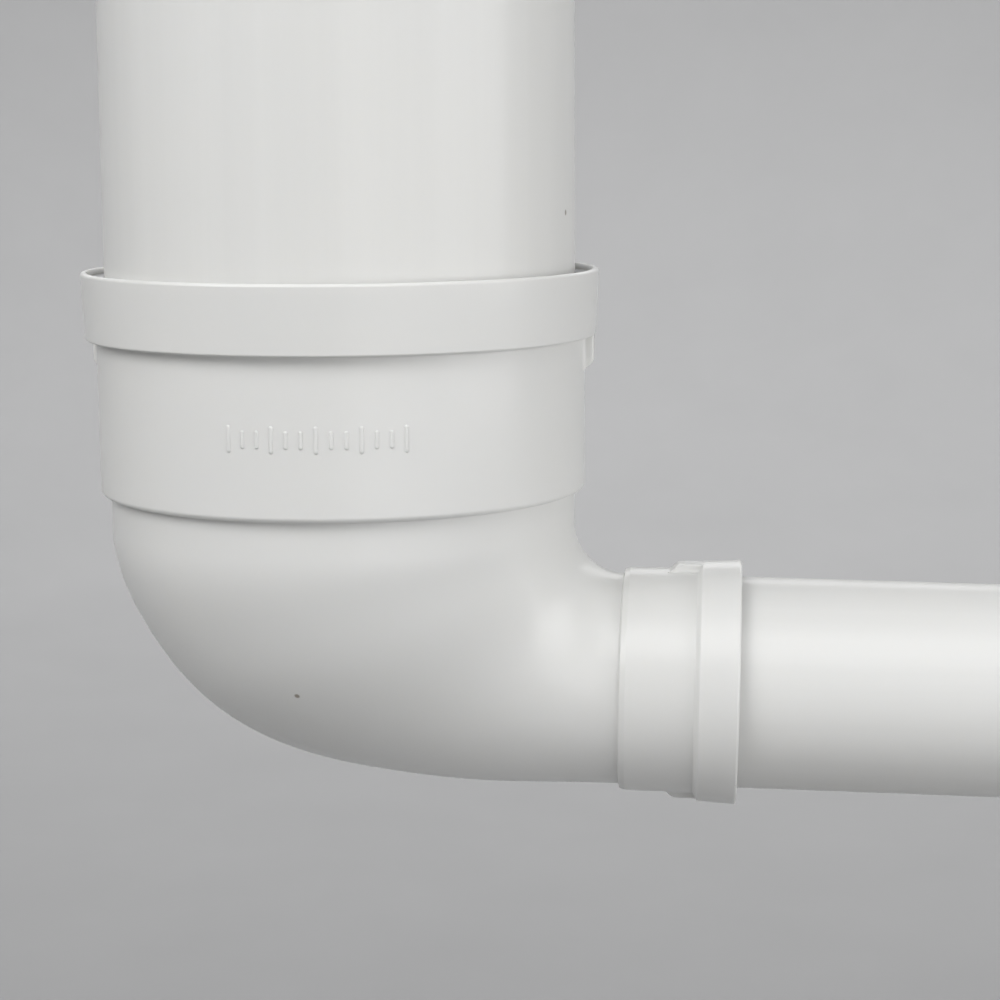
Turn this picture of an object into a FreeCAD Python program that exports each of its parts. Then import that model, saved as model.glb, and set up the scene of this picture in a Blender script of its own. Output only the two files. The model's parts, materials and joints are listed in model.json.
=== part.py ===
"""Reducing drain elbow: a 110 mm riser turned through about 90 degrees into a 50 mm outlet.

Row frame: origin at the centre of the large socket's mouth, +Z up the riser,
+X towards the outlet.  Everything is symmetric about the XZ plane.  All lengths in mm.
"""
import FreeCAD
import Part
import math
import os

V = FreeCAD.Vector

# ---------------------------------------------------------------- pipes
RISER_R = 55.0              # outer radius of the 110 mm riser
RISER_WALL = 3.2
RISER_FREE = 100.0          # length standing above the mouth
OUTLET_R = 25.0             # outer radius of the 50 mm outlet
OUTLET_WALL = 2.0
OUTLET_FREE = 80.0          # length lying past the small mouth
PIPE_GAP = 0.05             # radial running gap of a pipe in its socket and ring
SPIGOT_RUN = 3.0            # bevel on the end that goes in
SPIGOT_DROP = 0.9
CUT_EDGE = 0.3              # deburred edge of the free end
LINE_DEPTH = 0.15           # scribed insertion line just inside the mouth
LINE_TOP = 0.5
RISER_LINE_WIDTH = 1.6
OUTLET_LINE_WIDTH = 0.8

# ---------------------------------------------------------------- large socket, heights along Z
BIG_DEPTH = 48.0            # mouth to pipe stop
BIG_LIP_R = 60.55           # collar at the mouth
BIG_COLLAR_FOOT_R = 59.75
BIG_COLLAR_LEN = 15.5
BIG_COLLAR_SLOPE = 0.0       # length over which the collar's foot slopes into the band
BIG_BAND_TOP_R = 57.25
BIG_BAND_FOOT_R = 57.05
BIG_BAND_END = 51.7         # mouth to the band's lower edge
BIG_LIP_IN_R = 59.0         # opening of the ring's seat
BIG_SEAT_R = 59.3
BIG_SEAT_TOP = 1.3
BIG_SEAT_FLOOR = 8.6

# ---------------------------------------------------------------- small socket, lengths from its mouth
SMALL_DEPTH = 25.0
SMALL_LIP_R = 28.97
SMALL_COLLAR_FOOT_R = 28.45
SMALL_COLLAR_LEN = 9.2
SMALL_COLLAR_SLOPE = 1.0
SMALL_BAND_TOP_R = 26.62
SMALL_BAND_FOOT_R = 26.45
SMALL_BAND_END = 27.9
SMALL_LIP_IN_R = 27.75
SMALL_SEAT_R = 27.95
SMALL_SEAT_TOP = 1.1
SMALL_SEAT_FLOOR = 5.6

# ---------------------------------------------------------------- bend
OUTLET_FALL = 1.2           # degrees the outlet drops below level
AXES_MEET = -96.1           # height where the two pipe axes cross
MOUTH_REACH = 93.9          # from the crossing to the small mouth, along the outlet
BODY_BIG_R = 54.7
BODY_SMALL_R = 25.0
BODY_BIG_WALL = 3.2
BODY_SMALL_WALL = 2.0
BODY_DRAFT = 0.15           # the body is this much fuller where it meets a band
THROAT_R = 12.2             # inside radius of the bend
# distance of the heel from the throat's centre at even steps of turn between the two sockets
HEEL_REACH = (116.7, 108.4, 96.4, 83.6, 74.1, 67.5, 63.5)

# ---------------------------------------------------------------- ribs under the collars
BIG_RIB_LEN = 8.4
BIG_RIB_R = 59.6
BIG_RIB_THICK = 6.5
SMALL_RIB_LEN = 7.9
SMALL_RIB_R = 28.4
SMALL_RIB_THICK = 5.0

RING_GAP = 0.06             # radial gap of a ring in its seat
RING_END_GAP = 0.15

fall = math.radians(OUTLET_FALL)
OUT_DIR = V(math.cos(fall), 0.0, -math.sin(fall))
CROSSING = V(0.0, 0.0, AXES_MEET)
SMALL_MOUTH = CROSSING + OUT_DIR * MOUTH_REACH


def revolved(points, roundings=()):
    """Solid of revolution about Z from a closed (radius, height) outline.

    roundings pairs a corner's place in the outline with a fillet radius.
    """
    corner_radius = dict(roundings)
    count = len(points)
    edges = []
    starts = []
    ends = []
    arcs = []
    for i in range(count):
        p = V(points[i][0], 0, points[i][1])
        if i not in corner_radius:
            starts.append(p)
            ends.append(p)
            arcs.append(None)
            continue
        before = V(points[i - 1][0], 0, points[i - 1][1]) - p
        after = V(points[(i + 1) % count][0], 0, points[(i + 1) % count][1]) - p
        before.normalize()
        after.normalize()
        half = before.getAngle(after) / 2.0
        run = corner_radius[i] / math.tan(half)
        bisector = before + after
        bisector.normalize()
        middle = p + bisector * (corner_radius[i] / math.sin(half) - corner_radius[i])
        starts.append(p + before * run)
        ends.append(p + after * run)
        arcs.append(Part.Arc(p + before * run, middle, p + after * run))
    for i in range(count):
        if arcs[i] is not None:
            edges.append(arcs[i].toShape())
        tail = ends[i]
        head = starts[(i + 1) % count]
        if tail.distanceToPoint(head) > 1e-6:
            edges.append(Part.LineSegment(tail, head).toShape())
    face = Part.Face(Part.Wire(Part.__sortEdges__(edges)))
    return face.revolve(V(0, 0, 0), V(0, 0, 1), 360)


def on_outlet(shape):
    """Carry a shape built at the origin, mouth up, onto the small mouth."""
    placed = shape.copy()
    turn = FreeCAD.Rotation(V(0, 0, 1), OUT_DIR)
    placed.Placement = FreeCAD.Placement(SMALL_MOUTH, turn)
    return placed


def half_ring(angle, reach, wall, side):
    """Poles of half a ring of the bend's skin, in the plane that fans out from the throat."""
    spoke = V(math.cos(angle), 0.0, math.sin(angle))
    centre = THROAT + spoke * ((THROAT_R + reach) / 2.0)
    radius = (reach - THROAT_R) / 2.0 - wall
    inward = spoke * -radius
    across = V(0.0, side * radius, 0.0)
    return [centre + inward, centre + inward + across, centre + across,
            centre - inward + across, centre - inward]


def swing(pole):
    """Distance of a pole from the line through the throat's centre along Y."""
    return math.hypot(pole.x - THROAT.x, pole.z - THROAT.z)


def bend_half(rings, turn):
    """Smooth skin through half rings, leaving both ends square to the sockets."""
    shares = [i / (len(rings) - 1.0) for i in range(len(rings))]
    rows = []
    for k in range(5):
        leave = V(0, 0, -swing(rings[0][k]) * turn)
        arrive = OUT_DIR * (swing(rings[-1][k]) * turn)
        curve = Part.BSplineCurve()
        curve.interpolate(Points=[ring[k] for ring in rings], Parameters=shares,
                          InitialTangent=leave, FinalTangent=arrive)
        rows.append(curve)
    skin = Part.BSplineSurface()
    bend_weight = math.sqrt(0.5)
    weights = [[w] * rows[0].NbPoles for w in (1.0, bend_weight, 1.0, bend_weight, 1.0)]
    skin.buildFromPolesMultsKnots(
        [curve.getPoles() for curve in rows], [3, 2, 3], rows[0].getMultiplicities(),
        [0.0, 0.5, 1.0], rows[0].getKnots(), False, False, 2, rows[0].Degree, weights)
    return skin.toShape()


def bend_solid(hollow):
    """Bend from the foot of the large socket to the root of the small one."""
    reaches = [BODY_BIG_R + THROAT.x]
    reaches += list(HEEL_REACH)
    reaches.append(THROAT_R + 2 * BODY_SMALL_R)
    first = math.pi
    last = 1.5 * math.pi - fall
    faces = []
    for side in (-1, 1):
        rings = []
        for i, reach in enumerate(reaches):
            share = i / (len(reaches) - 1.0)
            wall = BODY_BIG_WALL + (BODY_SMALL_WALL - BODY_BIG_WALL) * share
            rings.append(half_ring(first + (last - first) * share, reach,
                                   wall if hollow else 0.0, side))
        faces.append(bend_half(rings, last - first))
    trim = 1.0 if hollow else 0.0
    big_end = Part.Circle(V(0, 0, THROAT.z), V(0, 0, 1), BODY_BIG_R - trim * BODY_BIG_WALL)
    axis_foot = CROSSING + OUT_DIR * (THROAT - CROSSING).dot(OUT_DIR)
    small_end = Part.Circle(axis_foot, OUT_DIR, BODY_SMALL_R - trim * BODY_SMALL_WALL)
    for end in (big_end, small_end):
        faces.append(Part.Face(Part.Wire(end.toShape())))
    shell = Part.makeShell(faces)
    shell.sewShape()
    return Part.makeSolid(Part.Shell(shell.Faces))


def rib(band_r, foot_z, length, reach, thick):
    """Upright rib on +X below a collar whose underside is at foot_z, outer corner rounded."""
    corner = 0.32 * length
    root = band_r - 1.0
    low = foot_z - length
    top = foot_z + 1.0
    turn = V(reach - corner * (1 - math.cos(math.pi / 4)), 0, low + corner * (1 - math.cos(math.pi / 4)))
    outline = [
        Part.LineSegment(V(root, 0, top), V(root, 0, low)).toShape(),
        Part.LineSegment(V(root, 0, low), V(reach - corner, 0, low)).toShape(),
        Part.Arc(V(reach - corner, 0, low), turn, V(reach, 0, low + corner)).toShape(),
        Part.LineSegment(V(reach, 0, low + corner), V(reach, 0, top)).toShape(),
        Part.LineSegment(V(reach, 0, top), V(root, 0, top)).toShape(),
    ]
    plate = Part.Face(Part.Wire(outline)).extrude(V(0, thick, 0))
    plate.translate(V(0, -thick / 2.0, 0))
    return plate


def ribs(band_r, foot_z, length, reach, thick):
    """The pair of ribs, one each side in the plane of the bend."""
    one = rib(band_r, foot_z, length, reach, thick)
    other = one.copy()
    other.rotate(V(0, 0, 0), V(0, 0, 1), 180)
    return [one, other]


def socket_skin(lip_r, foot_r, collar, slope, band_top_r, band_foot_r, band_end, body_r, body_end):
    """Outside of a socket as a solid plug about Z, mouth at the origin."""
    outline = [
        (0, 0), (lip_r, 0), (foot_r, -collar), (band_top_r, -collar - slope),
        (band_foot_r, -band_end), (body_r + BODY_DRAFT, -band_end), (body_r, -body_end),
        (0, -body_end),
    ]
    step = band_foot_r - body_r - BODY_DRAFT
    return revolved(outline, [(1, 0.7), (2, 0.5), (3, 0.6), (4, min(1.2, 0.75 * step)), (5, 0.2 * step)])


def socket_hole(lip_in_r, seat_r, seat_top, seat_floor, bore_r, depth, below_r, below_end):
    """Inside of a socket about Z: ring seat, bore, pipe stop and the waterway below it."""
    outline = [
        (0, 1.0), (lip_in_r + 0.35, 1.0), (lip_in_r + 0.35, 0), (lip_in_r, -0.35),
        (lip_in_r, -seat_top + 0.25), (seat_r, -seat_top), (seat_r, -seat_floor),
        (bore_r + 0.9, -seat_floor), (bore_r, -seat_floor - 1.2), (bore_r, -depth),
        (below_r, -depth), (below_r, -below_end), (0, -below_end),
    ]
    return revolved(outline, [(6, 0.4)])


def seal_ring(seat_r, seat_top, seat_floor, pipe_r):
    """Rubber ring: flat seating heel outside, wiping nose above, sealing lip below."""
    outer = seat_r - RING_GAP
    inner = pipe_r + PIPE_GAP
    top = -seat_top - RING_END_GAP
    floor = -seat_floor + RING_END_GAP
    width = outer - inner
    tall = top - floor
    outline = [
        (outer, top), (outer, floor), (outer - 0.45 * width, floor),
        (outer - 0.50 * width, floor + 0.16 * tall), (inner + 0.22 * width, floor + 0.10 * tall),
        (inner, floor + 0.22 * tall), (inner + 0.30 * width, floor + 0.48 * tall),
        (inner + 0.30 * width, floor + 0.60 * tall), (inner, floor + 0.72 * tall),
        (inner, top - 0.35),
        (inner + 0.35, top), (outer - 0.62 * width, top), (outer - 0.50 * width, top - 0.3),
        (outer - 0.34 * width, top - 0.3), (outer - 0.24 * width, top),
    ]
    return revolved(outline, [(0, 0.3), (1, 0.45)])


def pipe(radius, wall, depth, free, line_width):
    """Plain pipe about Z with a bevelled spigot end at -depth and a cut end at +free."""
    bottom = -depth
    line_foot = -LINE_TOP - line_width
    line_mid = -LINE_TOP - line_width / 2.0
    bore = radius - wall
    outline = [
        (bore, bottom), (radius - SPIGOT_DROP, bottom), (radius, bottom + SPIGOT_RUN),
        (radius, line_foot), (radius - LINE_DEPTH, line_mid), (radius, -LINE_TOP),
        (radius, free - CUT_EDGE), (radius - CUT_EDGE, free), (bore + CUT_EDGE, free),
        (bore, free - CUT_EDGE),
    ]
    return revolved(outline)


# centre of the throat: THROAT_R clear of the large body's side and of the outlet's upper side
throat_x = BODY_BIG_R + THROAT_R
throat_z = AXES_MEET + (BODY_SMALL_R + THROAT_R - throat_x * math.sin(fall)) / math.cos(fall)
THROAT = V(throat_x, 0.0, throat_z)
throat_from_mouth = MOUTH_REACH - (THROAT - CROSSING).dot(OUT_DIR)

# ---------------------------------------------------------------- elbow
big_skin = socket_skin(BIG_LIP_R, BIG_COLLAR_FOOT_R, BIG_COLLAR_LEN, BIG_COLLAR_SLOPE,
                       BIG_BAND_TOP_R, BIG_BAND_FOOT_R, BIG_BAND_END, BODY_BIG_R, -throat_z)
small_skin = on_outlet(socket_skin(SMALL_LIP_R, SMALL_COLLAR_FOOT_R, SMALL_COLLAR_LEN,
                                   SMALL_COLLAR_SLOPE, SMALL_BAND_TOP_R, SMALL_BAND_FOOT_R, SMALL_BAND_END,
                                   BODY_SMALL_R, SMALL_BAND_END + 0.4))
outside = big_skin.fuse([bend_solid(False), small_skin])
big_ribs = ribs(BIG_BAND_TOP_R, -BIG_COLLAR_LEN, BIG_RIB_LEN, BIG_RIB_R, BIG_RIB_THICK)
small_ribs = ribs(SMALL_BAND_TOP_R, -SMALL_COLLAR_LEN, SMALL_RIB_LEN, SMALL_RIB_R, SMALL_RIB_THICK)
outside = outside.fuse(big_ribs + [on_outlet(r) for r in small_ribs])

big_hole = socket_hole(BIG_LIP_IN_R, BIG_SEAT_R, BIG_SEAT_TOP, BIG_SEAT_FLOOR,
                       RISER_R + PIPE_GAP, BIG_DEPTH, BODY_BIG_R - BODY_BIG_WALL, -throat_z)
small_hole = on_outlet(socket_hole(SMALL_LIP_IN_R, SMALL_SEAT_R, SMALL_SEAT_TOP, SMALL_SEAT_FLOOR,
                                   OUTLET_R + PIPE_GAP, SMALL_DEPTH,
                                   BODY_SMALL_R - BODY_SMALL_WALL, throat_from_mouth + 0.4))
inside = big_hole.fuse([bend_solid(True), small_hole])
elbow = outside.cut(inside)

# ---------------------------------------------------------------- rings and pipes
riser_ring = seal_ring(BIG_SEAT_R, BIG_SEAT_TOP, BIG_SEAT_FLOOR, RISER_R)
outlet_ring = on_outlet(seal_ring(SMALL_SEAT_R, SMALL_SEAT_TOP, SMALL_SEAT_FLOOR, OUTLET_R))
riser = pipe(RISER_R, RISER_WALL, BIG_DEPTH, RISER_FREE, RISER_LINE_WIDTH)
outlet = on_outlet(pipe(OUTLET_R, OUTLET_WALL, SMALL_DEPTH, OUTLET_FREE, OUTLET_LINE_WIDTH))

PIECES = {
    "elbow_body": elbow,
    "riser_seal_ring": riser_ring,
    "outlet_seal_ring": outlet_ring,
    "riser_pipe": riser,
    "outlet_pipe": outlet,
}

os.makedirs("parts", exist_ok=True)
for name, shape in PIECES.items():
    solid = shape.Solids[0] if len(shape.Solids) == 1 else shape
    solid.exportStep("parts/" + name + ".step")
    box = solid.BoundBox
    print("%-18s solids %d valid %s volume %.0f  x %.2f..%.2f  y %.2f..%.2f  z %.2f..%.2f" % (
        name, len(shape.Solids), shape.isValid(), shape.Volume,
        box.XMin, box.XMax, box.YMin, box.YMax, box.ZMin, box.ZMax))
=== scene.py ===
"""Looks of the reducing drain elbow: glossy white moulding, two white pipes, two grey seal rings."""
import json
import math
import bpy
import bmesh
import numpy as np
from mathutils import Euler, Matrix, Vector

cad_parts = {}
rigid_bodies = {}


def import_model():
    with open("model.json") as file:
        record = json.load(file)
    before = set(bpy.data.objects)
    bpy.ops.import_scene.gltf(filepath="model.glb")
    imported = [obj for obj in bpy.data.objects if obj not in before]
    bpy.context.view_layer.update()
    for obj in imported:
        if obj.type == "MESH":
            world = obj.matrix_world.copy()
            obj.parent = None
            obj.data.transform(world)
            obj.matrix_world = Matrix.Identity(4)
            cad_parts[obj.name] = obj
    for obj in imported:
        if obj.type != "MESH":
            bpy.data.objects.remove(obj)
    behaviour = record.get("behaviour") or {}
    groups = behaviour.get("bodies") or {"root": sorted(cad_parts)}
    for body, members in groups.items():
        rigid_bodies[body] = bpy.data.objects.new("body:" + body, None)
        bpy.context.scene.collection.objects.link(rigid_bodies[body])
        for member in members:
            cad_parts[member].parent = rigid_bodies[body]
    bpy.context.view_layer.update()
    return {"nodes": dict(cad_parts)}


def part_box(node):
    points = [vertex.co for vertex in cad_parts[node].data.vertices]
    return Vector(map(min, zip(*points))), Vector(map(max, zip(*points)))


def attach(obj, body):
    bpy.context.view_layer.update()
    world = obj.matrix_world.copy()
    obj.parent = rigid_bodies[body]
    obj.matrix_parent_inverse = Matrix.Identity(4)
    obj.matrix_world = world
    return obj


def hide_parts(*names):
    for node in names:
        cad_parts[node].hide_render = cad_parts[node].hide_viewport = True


MM = 0.001
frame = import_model()

# ---------------------------------------------------------------- camera
CAMERA_AT = Vector((0.08823, -0.57326, 0.03200))
CAMERA_YAW = 5.085          # degrees left of +Y
CAMERA_PITCH = 8.577        # degrees below level
CAMERA_ROLL = -0.360
CAMERA_LENS = 88.376        # on a 36 mm sensor

cam_data = bpy.data.cameras.new("camera")
cam_data.sensor_width = 36.0
cam_data.lens = CAMERA_LENS
cam_data.clip_start = 0.01
cam_data.clip_end = 50.0
cam_data.dof.use_dof = False
cam = bpy.data.objects.new("camera", cam_data)
bpy.context.scene.collection.objects.link(cam)
aim = Euler((math.radians(90.0 - CAMERA_PITCH), 0.0, math.radians(CAMERA_YAW))).to_matrix()
aim = aim @ Matrix.Rotation(math.radians(CAMERA_ROLL), 3, "Z")
cam.location = CAMERA_AT
cam.rotation_euler = aim.to_euler()
bpy.context.scene.camera = cam

# ---------------------------------------------------------------- sizes, mm
elbow_low, elbow_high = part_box("elbow_body")
riser_low, riser_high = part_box("riser_pipe")
BIG_MOUTH_Z = elbow_high.z / MM
RISER_R = riser_high.x / MM
RISER_BORE = RISER_R - 3.2
RISER_LINE_WIDTH = 1.6      # scribed insertion line just inside the mouth
OUTLET_LINE_WIDTH = 0.8
LINE_TOP = 0.5
LINE_DEPTH = 0.15
RISER_TOP = riser_high.z / MM
RISER_FOOT = riser_low.z / MM
OUTLET_R = 25.0
OUTLET_BORE = OUTLET_R - 2.0
OUTLET_FREE = 80.0
FALL = math.radians(1.2)
OUT_DIR = np.array([math.cos(FALL), 0.0, -math.sin(FALL)])
OUT_UP = np.array([math.sin(FALL), 0.0, math.cos(FALL)])
ACROSS = np.array([0.0, 1.0, 0.0])
X_AXIS = np.array([1.0, 0.0, 0.0])
Z_AXIS = np.array([0.0, 0.0, 1.0])
AXES_CROSS = 96.1           # large mouth down to where the two axes cross
OUTLET_REACH = 93.9         # crossing to the small mouth
CROSSING = np.array([0.0, 0.0, BIG_MOUTH_Z - AXES_CROSS])
BIG_MOUTH = Z_AXIS * BIG_MOUTH_Z
SMALL_MOUTH = CROSSING + OUT_DIR * OUTLET_REACH
BODY_BIG_R = 54.7
BODY_SMALL_R = 25.0
BODY_DRAFT = 0.15           # the body is this much fuller where it meets the large band
BODY_BIG_WALL = 3.2
BODY_SMALL_WALL = 2.0
THROAT_R = 12.2             # inside radius of the bend
HEEL_REACH = (116.7, 108.4, 96.4, 83.6, 74.1, 67.5, 63.5)   # throat's centre to heel, down the bend
throat_x = BODY_BIG_R + THROAT_R
throat_z = CROSSING[2] + (BODY_SMALL_R + THROAT_R - throat_x * math.sin(FALL)) / math.cos(FALL)
THROAT = np.array([throat_x, 0.0, throat_z])
THROAT_BACK = OUTLET_REACH - float((THROAT - CROSSING) @ OUT_DIR)
BIG_BAND_FOOT = -51.7
BIG_COLLAR_FOOT = -15.5
BIG_SEAT_R = 59.3
BIG_SEAT_TOP = 1.3
BIG_SEAT_FLOOR = 8.6
BIG_DEPTH = 48.0            # mouth to pipe stop
BIG_STOP_R = 51.5           # waterway below the stop
SMALL_COLLAR_FOOT = -9.2
SMALL_SEAT_R = 27.95
SMALL_SEAT_TOP = 1.1
SMALL_SEAT_FLOOR = 5.6
SMALL_DEPTH = 25.0
SMALL_STOP_R = 23.0
PIPE_GAP = 0.05             # running gap between a pipe and its bore or ring


# ---------------------------------------------------------------- mesh makers
def rounded(points, radii, steps=6):
    """Open polyline of (r, z) points with chosen corners turned into arcs."""
    out = []
    for i, p in enumerate(points):
        p = np.array(p, float)
        if i not in radii:
            out.append(p)
            continue
        a = np.array(points[i - 1], float) - p
        b = np.array(points[i + 1], float) - p
        a /= np.linalg.norm(a)
        b /= np.linalg.norm(b)
        half = math.acos(np.clip(a @ b, -1, 1)) / 2
        run = radii[i] / math.tan(half)
        mid = a + b
        mid /= np.linalg.norm(mid)
        centre = p + mid * radii[i] / math.sin(half)
        u = p + a * run - centre
        v = p + b * run - centre
        sweep = math.pi - 2 * half
        for k in range(steps + 1):
            t = k / steps
            w = (math.sin((1 - t) * sweep) * u + math.sin(t * sweep) * v) / math.sin(sweep)
            out.append(centre + w)
    return out


def subdivided(points, longest):
    """The same polyline with no stretch longer than the given length."""
    out = [points[0]]
    for a, b in zip(points, points[1:]):
        n = max(1, int(math.ceil(np.linalg.norm(b - a) / longest)))
        out += [a + (b - a) * k / n for k in range(1, n + 1)]
    return out


def clamped_spline(values, samples):
    """Cubic through evenly spaced values, level at both ends."""
    n = len(values)
    a = np.zeros((n, n))
    rhs = np.zeros(n)
    a[0, 0] = a[-1, -1] = 1.0
    for i in range(1, n - 1):
        a[i, i - 1:i + 2] = (1.0, 4.0, 1.0)
        rhs[i] = 3.0 * (values[i + 1] - values[i - 1])
    slopes = np.linalg.solve(a, rhs)
    out = []
    for s in samples:
        i = min(int(s * (n - 1)), n - 2)
        t = s * (n - 1) - i
        out.append((2 * t ** 3 - 3 * t ** 2 + 1) * values[i] + (t ** 3 - 2 * t ** 2 + t) * slopes[i]
                   + (3 * t ** 2 - 2 * t ** 3) * values[i + 1] + (t ** 3 - t ** 2) * slopes[i + 1])
    return out


def link(name, mesh, body, material):
    """Object that rides a body and wears one material."""
    obj = bpy.data.objects.new(name, mesh)
    bpy.context.scene.collection.objects.link(obj)
    mesh.materials.append(material)
    for poly in mesh.polygons:
        poly.use_smooth = True
    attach(obj, body)
    return obj


MERGE_WITHIN = 1e-7         # metres


def mesh_of(name, verts, faces):
    """Mesh from points in mm, with coincident points joined."""
    mesh = bpy.data.meshes.new(name)
    mesh.from_pydata([tuple(float(c) * MM for c in v) for v in verts], [], faces)
    bm = bmesh.new()
    bm.from_mesh(mesh)
    bmesh.ops.remove_doubles(bm, verts=bm.verts, dist=MERGE_WITHIN)
    bmesh.ops.recalc_face_normals(bm, faces=bm.faces)
    bm.to_mesh(mesh)
    bm.free()
    mesh.update()
    return mesh


SEAM_HEIGHT = 0.09          # parting line left by the two mould halves
SEAM_PROFILE = ((0.0, 1.0), (0.12, 0.9), (0.26, 0.45), (0.42, 0.1), (0.6, 0.0))


def ring_angles(radius, count):
    """Angles round a ring, with extra ones close to the parting line on both sides."""
    near = [s * o / radius for s in (-1, 1) for o, _ in SEAM_PROFILE[1:]]
    edge = SEAM_PROFILE[-1][0] / radius
    free = [edge + (math.pi - 2 * edge) * k / count for k in range(1, count)]
    angles = []
    for start in (0.0, math.pi):
        angles += sorted(start + a for a in near + [0.0])
        angles += [start + a for a in free]
    return np.array(angles)


def ring_points(centre, toward, radius, seam, count):
    """Points round a ring, lifted where the parting line crosses it."""
    a = ring_angles(radius, count)
    offset = radius * np.abs(np.sin(a))
    lift = np.interp(offset, [o for o, _ in SEAM_PROFILE], [h for _, h in SEAM_PROFILE]) * seam
    r = (radius + lift)[:, None]
    return centre + r * (np.cos(a)[:, None] * toward + np.sin(a)[:, None] * ACROSS)


def closed_tube(name, rings, count):
    """Closed skin through a loop of rings, each (centre, toward, radius, seam height)."""
    verts = np.concatenate([ring_points(*ring, count) for ring in rings])
    n = len(verts) // len(rings)
    faces = []
    for i in range(len(rings)):
        j = (i + 1) % len(rings)
        for k in range(n):
            m = (k + 1) % n
            faces.append((i * n + k, i * n + m, j * n + m, j * n + k))
    return mesh_of(name, verts, faces)


LATHE_STEPS = 128
RISER_AXES = (BIG_MOUTH, Z_AXIS, X_AXIS)
OUTLET_AXES = (SMALL_MOUTH, OUT_DIR, OUT_UP)


def lathe(name, outline, axes):
    """Closed ring from a closed (r, z) outline. Axes are the origin, the axis and one spoke."""
    origin, axis, toward = axes
    rings = [(origin + axis * z, toward, r, 0.0) for r, z in outline]
    return closed_tube(name, rings, LATHE_STEPS)


# ---------------------------------------------------------------- materials
class Nodes:
    """Small helper that wires a material's node tree."""

    def __init__(self, name):
        self.material = bpy.data.materials.new(name)
        self.material.use_nodes = True
        self.tree = self.material.node_tree
        self.tree.nodes.clear()
        self.out = self.tree.nodes.new("ShaderNodeOutputMaterial")
        self.shader = self.tree.nodes.new("ShaderNodeBsdfPrincipled")
        self.join(self.shader, "BSDF", self.out, "Surface")

    def add(self, kind):
        return self.tree.nodes.new(kind)

    def set(self, **values):
        for key, value in values.items():
            self.shader.inputs[key.replace("_", " ")].default_value = value

    def join(self, a, out, b, into):
        self.tree.links.new(a.outputs[out], b.inputs[into])

    def coords(self, scale=(1, 1, 1), turn=(0, 0, 0)):
        source = self.add("ShaderNodeTexCoord")
        mapping = self.add("ShaderNodeMapping")
        mapping.inputs["Scale"].default_value = scale
        mapping.inputs["Rotation"].default_value = turn
        self.join(source, "Object", mapping, "Vector")
        return mapping

    def noise(self, mapping, scale, detail=3.0, rough=0.5):
        node = self.add("ShaderNodeTexNoise")
        node.inputs["Scale"].default_value = scale
        node.inputs["Detail"].default_value = detail
        node.inputs["Roughness"].default_value = rough
        self.join(mapping, "Vector", node, "Vector")
        return node

    def ramp(self, source, out, stops):
        node = self.add("ShaderNodeValToRGB")
        node.color_ramp.elements[0].position = stops[0][0]
        node.color_ramp.elements[0].color = (*stops[0][1], 1.0)
        node.color_ramp.elements[1].position = stops[-1][0]
        node.color_ramp.elements[1].color = (*stops[-1][1], 1.0)
        for place, colour in stops[1:-1]:
            node.color_ramp.elements.new(place).color = (*colour, 1.0)
        self.join(source, out, node, "Fac")
        return node

    def multiply(self, a, b, mask=None):
        node = self.add("ShaderNodeMix")
        node.data_type = "RGBA"
        node.blend_type = "MULTIPLY"
        node.inputs["Factor"].default_value = 1.0
        if mask:
            self.join(mask, "Color", node, "Factor")
        self.tree.links.new(a, node.inputs["A"])
        self.tree.links.new(b, node.inputs["B"])
        return node.outputs["Result"]

    def bump(self, height, strength, distance, under=None):
        """Bump from a texture's Fac, laid over another bump when one is given."""
        node = self.add("ShaderNodeBump")
        node.inputs["Strength"].default_value = strength
        node.inputs["Distance"].default_value = distance
        self.join(height, "Fac", node, "Height")
        if under:
            self.join(under, "Normal", node, "Normal")
        return node

    def spread(self, source, low, high, from_low, from_high):
        node = self.add("ShaderNodeMapRange")
        node.inputs["From Min"].default_value = from_low
        node.inputs["From Max"].default_value = from_high
        node.inputs["To Min"].default_value = low
        node.inputs["To Max"].default_value = high
        self.tree.links.new(source, node.inputs["Value"])
        return node.outputs["Result"]


SPECK = (0.42, 0.38, 0.33)


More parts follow.
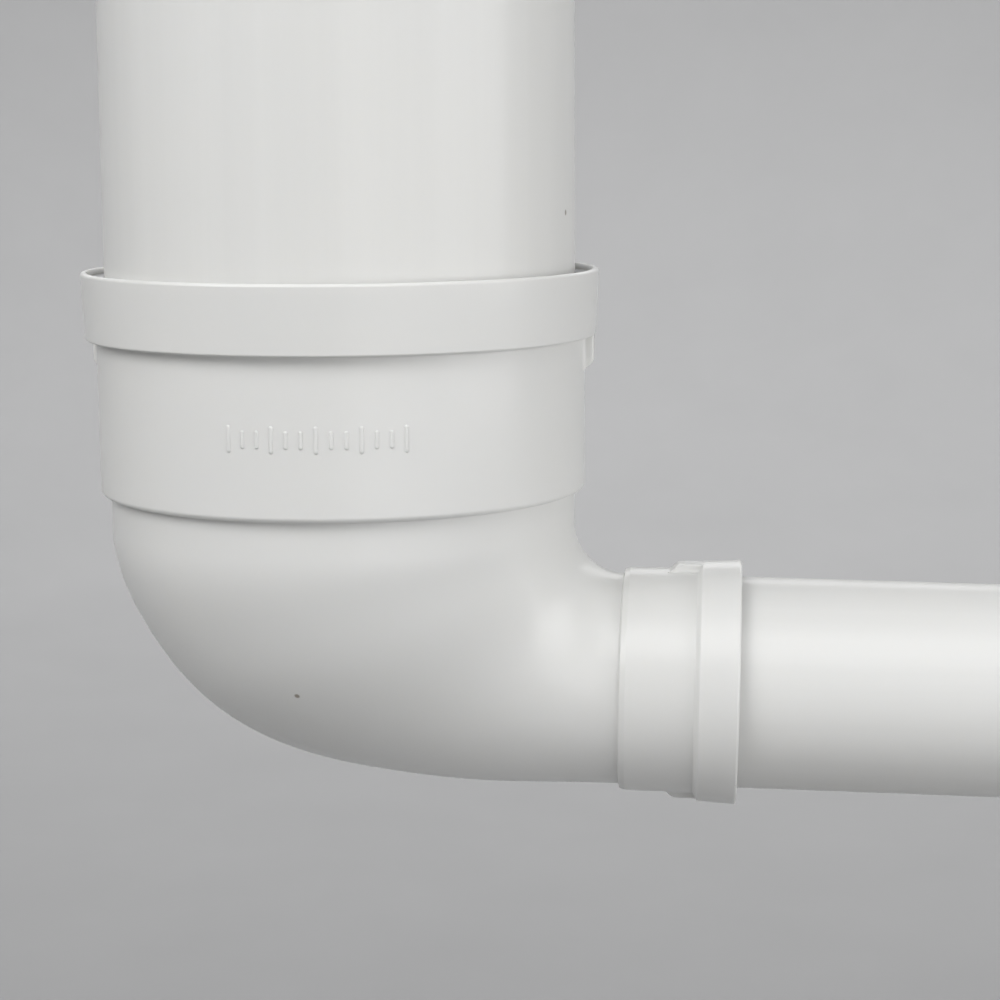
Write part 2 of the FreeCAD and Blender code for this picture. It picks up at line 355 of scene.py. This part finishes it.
def upvc(name, tint, gloss, streak_scale, streak_turn, streak_depth):
    """Glossy white uPVC with flow streaks, faint mottling, orange peel and a few dark specks."""
    n = Nodes(name)
    plain = n.coords()
    streaks = n.noise(n.coords(streak_scale, streak_turn), 1.0, 4.0, 0.55)
    cloud = n.noise(plain, 14.0, 2.0, 0.5)
    warm = tuple(c * f for c, f in zip(tint, (1.0, 0.997, 0.985)))
    cool = tuple(c * f for c, f in zip(tint, (0.985, 0.988, 0.990)))
    cloud_tone = n.ramp(cloud, "Fac", [(0.2, cool), (0.8, warm)])
    grey = (1.0 - streak_depth,) * 3
    streak_tone = n.ramp(streaks, "Fac", [(0.2, grey), (0.8, (1.0, 1.0, 1.0))])
    colour = n.multiply(cloud_tone.outputs["Color"], streak_tone.outputs["Color"])
    specks = n.add("ShaderNodeTexVoronoi")
    specks.inputs["Scale"].default_value = 42.0
    n.join(plain, "Vector", specks, "Vector")
    rare = n.noise(plain, 31.0, 0.0)
    dot = n.ramp(specks, "Distance", [(0.0, SPECK), (0.022, SPECK), (0.034, (1.0, 1.0, 1.0))])
    gate = n.ramp(rare, "Fac", [(0.56, (0.0, 0.0, 0.0)), (0.59, (1.0, 1.0, 1.0))])
    spotted = n.multiply(colour, dot.outputs["Color"], gate)
    n.tree.links.new(spotted, n.shader.inputs["Base Color"])
    wear = n.noise(plain, 30.0, 2.0, 0.5)
    n.tree.links.new(n.spread(wear.outputs["Fac"], gloss - 0.02, gloss + 0.03, 0.3, 0.7),
                     n.shader.inputs["Roughness"])
    n.set(IOR=1.53, Specular_IOR_Level=0.38, Coat_Weight=0.2, Coat_Roughness=0.1,
          Subsurface_Weight=0.12, Subsurface_Radius=(1.0, 0.95, 0.85), Subsurface_Scale=0.0015)
    peel = n.noise(plain, 210.0, 2.0, 0.5)
    wave = n.noise(plain, 34.0, 1.0, 0.4)
    low = n.bump(wave, 0.10, 0.0006)
    line = n.bump(streaks, 0.12, 0.0002, low)
    fine = n.bump(peel, 0.12, 0.00012, line)
    n.join(fine, "Normal", n.shader, "Normal")
    return n.material


def seal_rubber(name):
    """Matt grey rubber with a dusty bloom and a fine moulded grain, its grey lifted above the rubber's own
    tone as painted light against the shade of its seat.
    """
    n = Nodes(name)
    plain = n.coords()
    bloom = n.noise(plain, 60.0, 5.0, 0.6)
    # painted light: both greys are set lighter than the rubber's own tone, to make up for the shade the ring
    # gets in its recessed seat
    tone = n.ramp(bloom, "Fac", [(0.3, (0.48, 0.48, 0.485)), (0.7, (0.56, 0.56, 0.565))])
    n.join(tone, "Color", n.shader, "Base Color")
    n.tree.links.new(n.spread(bloom.outputs["Fac"], 0.55, 0.75, 0.3, 0.7), n.shader.inputs["Roughness"])
    grain = n.bump(n.noise(plain, 900.0, 2.0), 0.25, 0.0001)
    n.join(grain, "Normal", n.shader, "Normal")
    return n.material


def paper(name):
    """Pale studio floor with a barely visible fibre."""
    n = Nodes(name)
    plain = n.coords()
    fibre = n.noise(plain, 9.0, 6.0, 0.6)
    tone = n.ramp(fibre, "Fac", [(0.3, (0.37, 0.37, 0.373)), (0.7, (0.385, 0.385, 0.388))])
    n.join(tone, "Color", n.shader, "Base Color")
    n.tree.links.new(n.spread(fibre.outputs["Fac"], 0.8, 0.95, 0.3, 0.7), n.shader.inputs["Roughness"])
    n.set(Specular_IOR_Level=0.2)
    n.join(n.bump(fibre, 0.12, 0.0005), "Normal", n.shader, "Normal")
    return n.material


WHITE = (0.83, 0.83, 0.815)
moulding = upvc("upvc_moulding", WHITE, 0.34, (14, 14, 5), (0, 0, 0), 0.03)
riser_skin = upvc("upvc_riser", WHITE, 0.38, (160, 160, 1.6), (0, 0, 0), 0.035)
outlet_skin = upvc("upvc_outlet", WHITE, 0.43, (1.6, 160, 160), (0, FALL, 0), 0.035)
rubber = seal_rubber("seal_rubber")
studio_paper = paper("studio_paper")

# ---------------------------------------------------------------- elbow
big_bore_r = RISER_R + PIPE_GAP
big_wall = rounded(
    [(BODY_BIG_R, throat_z), (BODY_BIG_R + BODY_DRAFT, BIG_BAND_FOOT), (57.05, BIG_BAND_FOOT),
     (57.25, BIG_COLLAR_FOOT), (59.75, BIG_COLLAR_FOOT), (60.55, 0.0), (59.35, 0.0), (59.0, -0.35),
     (59.0, 0.25 - BIG_SEAT_TOP), (BIG_SEAT_R, -BIG_SEAT_TOP), (BIG_SEAT_R, -BIG_SEAT_FLOOR),
     (55.95, -BIG_SEAT_FLOOR), (big_bore_r, -BIG_SEAT_FLOOR - 1.2), (big_bore_r, -BIG_DEPTH),
     (BIG_STOP_R, -BIG_DEPTH), (BIG_STOP_R, throat_z)],
    {1: 0.5, 2: 1.2, 3: 0.6, 4: 0.5, 5: 0.7, 6: 0.15, 10: 0.4, 11: 0.25, 14: 0.3})
small_bore_r = OUTLET_R + PIPE_GAP
small_wall = rounded(
    [(BODY_SMALL_R, -THROAT_BACK), (26.1, -27.5), (26.52, -26.2), (26.62, SMALL_COLLAR_FOOT - 1.0),
     (28.45, SMALL_COLLAR_FOOT), (28.97, 0.0), (28.1, 0.0), (27.75, -0.35),
     (27.75, 0.25 - SMALL_SEAT_TOP), (SMALL_SEAT_R, -SMALL_SEAT_TOP), (SMALL_SEAT_R, -SMALL_SEAT_FLOOR),
     (25.95, -SMALL_SEAT_FLOOR), (small_bore_r, -SMALL_SEAT_FLOOR - 1.2), (small_bore_r, -SMALL_DEPTH),
     (SMALL_STOP_R, -SMALL_DEPTH), (SMALL_STOP_R, -THROAT_BACK)],
    {1: 0.3, 2: 0.8, 3: 0.5, 4: 0.5, 5: 0.6, 6: 0.15, 10: 0.3, 11: 0.2, 14: 0.2})
big_wall = subdivided(big_wall, 6.0)
small_wall = subdivided(small_wall, 4.0)

FAN_STEPS = 72
ELBOW_STEPS = 120
shares = [k / FAN_STEPS for k in range(1, FAN_STEPS)]
reach_values = [BODY_BIG_R + throat_x, *HEEL_REACH, THROAT_R + 2 * BODY_SMALL_R]
reaches = clamped_spline(reach_values, shares)
outer_fan = []
inner_fan = []
for share, reach in zip(shares, reaches):
    angle = math.pi + (0.5 * math.pi - FALL) * share
    spoke = np.array([math.cos(angle), 0.0, math.sin(angle)])
    middle = THROAT + spoke * (THROAT_R + reach) / 2
    radius = (reach - THROAT_R) / 2
    wall = BODY_BIG_WALL + (BODY_SMALL_WALL - BODY_BIG_WALL) * share
    outer_fan.append((middle, -spoke, radius, SEAM_HEIGHT))
    inner_fan.append((middle, -spoke, radius - wall, 0.0))


def seam_on(index, profile):
    """The parting line runs on the outside of a wall only, up to the mouth's edge."""
    mouth = max(range(len(profile)), key=lambda k: profile[k][1] + profile[k][0] * 0.01)
    return SEAM_HEIGHT if index < mouth - 2 else 0.0


big_rings = [(BIG_MOUTH + Z_AXIS * z, X_AXIS, r, seam_on(i, big_wall))
             for i, (r, z) in enumerate(big_wall)]
small_rings = [(SMALL_MOUTH + OUT_DIR * z, OUT_UP, r, seam_on(i, small_wall))
               for i, (r, z) in enumerate(small_wall)]
elbow_rings = outer_fan + small_rings + inner_fan[::-1] + big_rings[::-1]
elbow_mesh = closed_tube("elbow_moulding", elbow_rings, ELBOW_STEPS)
elbow = link("elbow_moulding", elbow_mesh, "elbow", moulding)
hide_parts("elbow_body")


# ---------------------------------------------------------------- ribs under the collars
RIB_FILLET = 0.8
RIB_EDGE = 0.45             # rounding of the rib's outer edges
RIB_SINK = 0.15             # how deep the rib's foot runs into the band
SLOPE_STEPS = 12


def rib_mesh(name, band_r, foot, length, reach, thick, origin, axis, outward):
    """Rib with rounded edges and a small fillet along its sides, lofted down the band."""
    slope = 0.4 * length
    low = foot - length - 0.3
    path = [(foot + 0.6, reach)]
    path += [(foot - t * (length - slope), reach) for t in (0.0, 0.5, 1.0)]
    top = path[-1][0]
    for k in range(1, SLOPE_STEPS + 1):
        t = k / SLOPE_STEPS
        fall_share = math.sin(math.pi / 2 * t) ** 3
        path.append((top + (low - top) * t, reach + (band_r - RIB_SINK - reach) * fall_share))
    along = np.cross(axis, outward)
    verts = []
    sections = []
    for z, tip in path:
        side = [(band_r - 0.5, thick / 2 + RIB_FILLET)]
        for a in (math.pi / 2 * k / 5 for k in range(6)):
            side.append((band_r + RIB_FILLET * (1 - math.cos(a)), thick / 2 + RIB_FILLET * (1 - math.sin(a))))
        for a in (math.pi / 2 * k / 4 for k in range(5)):
            side.append((tip - RIB_EDGE * (1 - math.sin(a)), thick / 2 - RIB_EDGE * (1 - math.cos(a))))
        side = [(min(r, tip), y) for r, y in side]
        section = side + [(r, -y) for r, y in side[::-1]]
        sections.append(len(verts))
        for r, y in section:
            verts.append(origin + outward * r + along * y + axis * z)
    n = len(section)
    faces = []
    for a, b in zip(sections, sections[1:]):
        for k in range(n - 1):
            faces.append((a + k, a + k + 1, b + k + 1, b + k))
        faces.append((a + n - 1, a, b, b + n - 1))
    faces.append(tuple(range(sections[0] + n - 1, sections[0] - 1, -1)))
    faces.append(tuple(range(sections[-1], sections[-1] + n)))
    return mesh_of(name, verts, faces)


# band radius, foot of the collar, length, reach and thickness
BIG_OUTLET_RIB = (57.2, BIG_COLLAR_FOOT, 8.4, 59.6, 6.5)
BIG_HEEL_RIB = (57.2, BIG_COLLAR_FOOT, 8.4, 59.1, 6.5)
SMALL_RIB = (26.58, SMALL_COLLAR_FOOT, 7.9, 28.4, 5.0)
rib_places = [
    ("rib_big_outlet_side", *BIG_OUTLET_RIB, BIG_MOUTH, Z_AXIS, X_AXIS),
    ("rib_big_heel_side", *BIG_HEEL_RIB, BIG_MOUTH, Z_AXIS, -X_AXIS),
    ("rib_small_top", *SMALL_RIB, SMALL_MOUTH, OUT_DIR, OUT_UP),
    ("rib_small_bottom", *SMALL_RIB, SMALL_MOUTH, OUT_DIR, -OUT_UP),
]
for place in rib_places:
    link(place[0], rib_mesh(*place), "elbow", moulding)


# ---------------------------------------------------------------- plain raised mark on the band
MARK_FROM = math.radians(-107.0)
MARK_TO = math.radians(-67.5)
MARK_BARS = 13
MARK_MIDDLE = -33.6
MARK_BAND_R = 57.15
BAR_WIDE = 1.1
BAR_PROUD = 0.28
BAR_SINK = 0.12             # the bar's rim lies this deep in the band
BAR_COLS = 9
BAR_ROWS = 17


def raised_bar(name, azimuth, tall):
    """Pill-shaped raised bar that follows the band's curve."""
    half_wide = BAR_WIDE / 2
    verts = []
    for i in range(BAR_ROWS):
        z = (i / (BAR_ROWS - 1) * 2 - 1) * tall / 2
        past = max(0.0, abs(z) - (tall - BAR_WIDE) / 2)
        limit = math.sqrt(max(0.0, half_wide ** 2 - min(past, half_wide) ** 2))
        for j in range(BAR_COLS):
            u = j / (BAR_COLS - 1) * 2 - 1
            rim = max(0.0, 1 - u * u) ** 0.5 * min(1.0, limit / half_wide * 1.2)
            a = azimuth + u * limit / MARK_BAND_R
            r = MARK_BAND_R - BAR_SINK + (BAR_PROUD + BAR_SINK) * rim
            verts.append((r * math.cos(a), r * math.sin(a), BIG_MOUTH_Z + MARK_MIDDLE + z))
    faces = []
    for i in range(BAR_ROWS - 1):
        for j in range(BAR_COLS - 1):
            k = i * BAR_COLS + j
            faces.append((k, k + 1, k + BAR_COLS + 1, k + BAR_COLS))
    link(name, mesh_of(name, verts, faces), "elbow", moulding)


for k in range(MARK_BARS):
    azimuth = MARK_FROM + (MARK_TO - MARK_FROM) * k / (MARK_BARS - 1)
    raised_bar(f"mould_mark_{k:02d}", azimuth, 6.4 if k % 3 == 0 else 4.2)


# ---------------------------------------------------------------- seal rings
SEAT_GAP = 0.06
RING_END_GAP = 0.15


def ring_outline(seat_r, seat_top, seat_floor, pipe_r):
    """Section of a seal ring in its seat, with two lips towards the pipe."""
    outer = seat_r - SEAT_GAP
    inner = pipe_r + PIPE_GAP
    top = -seat_top - RING_END_GAP
    floor = -seat_floor + RING_END_GAP
    width = outer - inner
    tall = top - floor
    points = [
        (outer, floor + 0.5 * tall), (outer, floor), (outer - 0.45 * width, floor),
        (outer - 0.50 * width, floor + 0.16 * tall), (inner + 0.22 * width, floor + 0.10 * tall),
        (inner, floor + 0.22 * tall), (inner + 0.30 * width, floor + 0.48 * tall),
        (inner + 0.30 * width, floor + 0.60 * tall), (inner, floor + 0.72 * tall),
        (inner, top - 0.35), (inner + 0.35, top), (outer - 0.62 * width, top),
        (outer - 0.50 * width, top - 0.3), (outer - 0.34 * width, top - 0.3),
        (outer - 0.24 * width, top), (outer, top), (outer, floor + 0.5 * tall),
    ]
    soft = {1: 0.4, 2: 0.2, 3: 0.25, 4: 0.15, 5: 0.2, 6: 0.3, 7: 0.2, 8: 0.2, 10: 0.12,
            11: 0.12, 12: 0.12, 13: 0.12, 14: 0.12, 15: 0.3}
    return rounded(points, soft, 4)[:-1]


riser_section = ring_outline(BIG_SEAT_R, BIG_SEAT_TOP, BIG_SEAT_FLOOR, RISER_R)
riser_ring_mesh = lathe("riser_seal", riser_section, RISER_AXES)
riser_ring = link("riser_seal", riser_ring_mesh, "riser_ring", rubber)
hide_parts("riser_seal_ring")
outlet_section = ring_outline(SMALL_SEAT_R, SMALL_SEAT_TOP, SMALL_SEAT_FLOOR, OUTLET_R)
outlet_ring_mesh = lathe("outlet_seal", outlet_section, OUTLET_AXES)
outlet_ring = link("outlet_seal", outlet_ring_mesh, "outlet_ring", rubber)
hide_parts("outlet_seal_ring")


# ---------------------------------------------------------------- pipes
PIPE_CHAMFER = (0.9, 3.0)   # at the end inside the socket: off the radius, along the pipe
PIPE_EDGE = 0.3             # broken edge of the free end


def pipe_outline(radius, bore, depth, free, line_width):
    """Wall of a pipe from its chamfered end in the socket to its cut free end."""
    line_foot = -LINE_TOP - line_width
    points = [
        (bore, -depth / 2), (bore, -depth), (radius - PIPE_CHAMFER[0], -depth),
        (radius, PIPE_CHAMFER[1] - depth), (radius, line_foot),
        (radius - LINE_DEPTH, line_foot + line_width / 2), (radius, -LINE_TOP),
        (radius, free - PIPE_EDGE), (radius - PIPE_EDGE, free), (bore + PIPE_EDGE, free),
        (bore, free - PIPE_EDGE), (bore, -depth / 2),
    ]
    soft = {1: 0.2, 2: 0.2, 3: 0.8, 8: 0.12, 9: 0.12}
    return subdivided(rounded(points, soft, 4), 12.0)[:-1]


riser_wall = pipe_outline(RISER_R, RISER_BORE, -RISER_FOOT, RISER_TOP, RISER_LINE_WIDTH)
riser_mesh = lathe("riser_tube", riser_wall, RISER_AXES)
riser = link("riser_tube", riser_mesh, "riser", riser_skin)
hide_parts("riser_pipe")
outlet_wall = pipe_outline(OUTLET_R, OUTLET_BORE, SMALL_DEPTH, OUTLET_FREE, OUTLET_LINE_WIDTH)
outlet_mesh = lathe("outlet_tube", outlet_wall, OUTLET_AXES)
outlet = link("outlet_tube", outlet_mesh, "outlet", outlet_skin)
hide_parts("outlet_pipe")

for obj in list(bpy.context.scene.objects):
    if obj.type == "MESH" and obj.name not in frame["nodes"]:
        weighted = obj.modifiers.new("even_shading", "WEIGHTED_NORMAL")
        weighted.keep_sharp = True

# ---------------------------------------------------------------- floor and light
FLOOR_Z = elbow_low.z - 0.300
FLOOR_R = 1.6               # metres, as are the values below
COVE_R = 0.8                # radius of the curve between floor and wall
WALL_TOP = 3.5
FLOOR_SIDES = 72
COVE_STEPS = 12
profile = [(FLOOR_R, FLOOR_Z)]
profile += [(FLOOR_R + COVE_R * math.sin(a), FLOOR_Z + COVE_R - COVE_R * math.cos(a))
            for a in (math.pi / 2 * k / COVE_STEPS for k in range(1, COVE_STEPS + 1))]
profile.append((FLOOR_R + COVE_R, WALL_TOP))
around = [2 * math.pi * k / FLOOR_SIDES for k in range(FLOOR_SIDES)]
floor_verts = [(0.0, 0.0, FLOOR_Z)]
floor_verts += [(r * math.cos(a), r * math.sin(a), z) for r, z in profile for a in around]
floor_faces = [(0, 1 + k, 1 + (k + 1) % FLOOR_SIDES) for k in range(FLOOR_SIDES)]
for i in range(len(profile) - 1):
    low = 1 + i * FLOOR_SIDES
    high = low + FLOOR_SIDES
    for k in range(FLOOR_SIDES):
        m = (k + 1) % FLOOR_SIDES
        floor_faces.append((low + k, high + k, high + m, low + m))
floor_mesh = bpy.data.meshes.new("studio_floor")
floor_mesh.from_pydata(floor_verts, [], floor_faces)
floor_mesh.materials.append(studio_paper)
for poly in floor_mesh.polygons:
    poly.use_smooth = True
floor = bpy.data.objects.new("studio_floor", floor_mesh)
bpy.context.scene.collection.objects.link(floor)


LIGHT_SPREAD = math.radians(120.0)
LIT_POINT = Vector((0.05, 0.0, -0.03))
LIGHT_DISTANCE = 1.4
WASH_SIZE = (2.4, 0.8)
WASH_OUT = 1.2              # how far out and how high a wash hangs
WASH_HIGH = 1.5
WASH_AIM = (0.9, -1.9)      # outwards and down


def area_light(name, wide, tall, power, place, facing):
    data = bpy.data.lights.new(name, "AREA")
    data.shape = "RECTANGLE"
    data.size = wide
    data.size_y = tall
    data.energy = power
    data.spread = LIGHT_SPREAD
    obj = bpy.data.objects.new(name, data)
    obj.location = place
    obj.rotation_euler = facing.to_track_quat("-Z", "Y").to_euler()
    bpy.context.scene.collection.objects.link(obj)


def softbox(name, azimuth, elevation, wide, tall, power):
    """Soft light aimed at the elbow. Azimuth 0 is in front, 90 over the outlet's end."""
    a = math.radians(azimuth)
    e = math.radians(elevation)
    back = Vector((math.sin(a) * math.cos(e), -math.cos(a) * math.cos(e), math.sin(e)))
    area_light(name, wide, tall, power, LIT_POINT + back * LIGHT_DISTANCE, -back)


def wash(name, azimuth, power):
    """Soft light that faces outwards, onto the floor and wall round the elbow."""
    a = math.radians(azimuth)
    outward = Vector((math.sin(a), -math.cos(a), 0.0))
    place = outward * WASH_OUT + Vector((0.0, 0.0, WASH_HIGH))
    facing = outward * WASH_AIM[0] + Vector((0.0, 0.0, WASH_AIM[1]))
    area_light(name, *WASH_SIZE, power, place, facing)


softbox("light_left_high", -50, 38, 1.0, 0.8, 4.8)
softbox("light_front_high", 0, 50, 1.4, 0.9, 3.8)
softbox("light_right_front", 34, 0, 1.3, 1.1, 2.4)
softbox("light_right", 75, 10, 1.0, 0.9, 3.0)
softbox("light_back", 180, 22, 1.8, 0.4, 1.5)
wash("wash_back", 180, 23.0)
wash("wash_front", 0, 6.0)
wash("wash_outlet_side", 90, 6.0)
wash("wash_heel_side", -90, 6.0)

world = bpy.data.worlds.new("studio")
world.use_nodes = True
background = world.node_tree.nodes["Background"]
background.inputs["Color"].default_value = (0.8, 0.82, 0.85, 1.0)
background.inputs["Strength"].default_value = 0.12
bpy.context.scene.world = world
bpy.context.scene.view_settings.view_transform = "Standard"
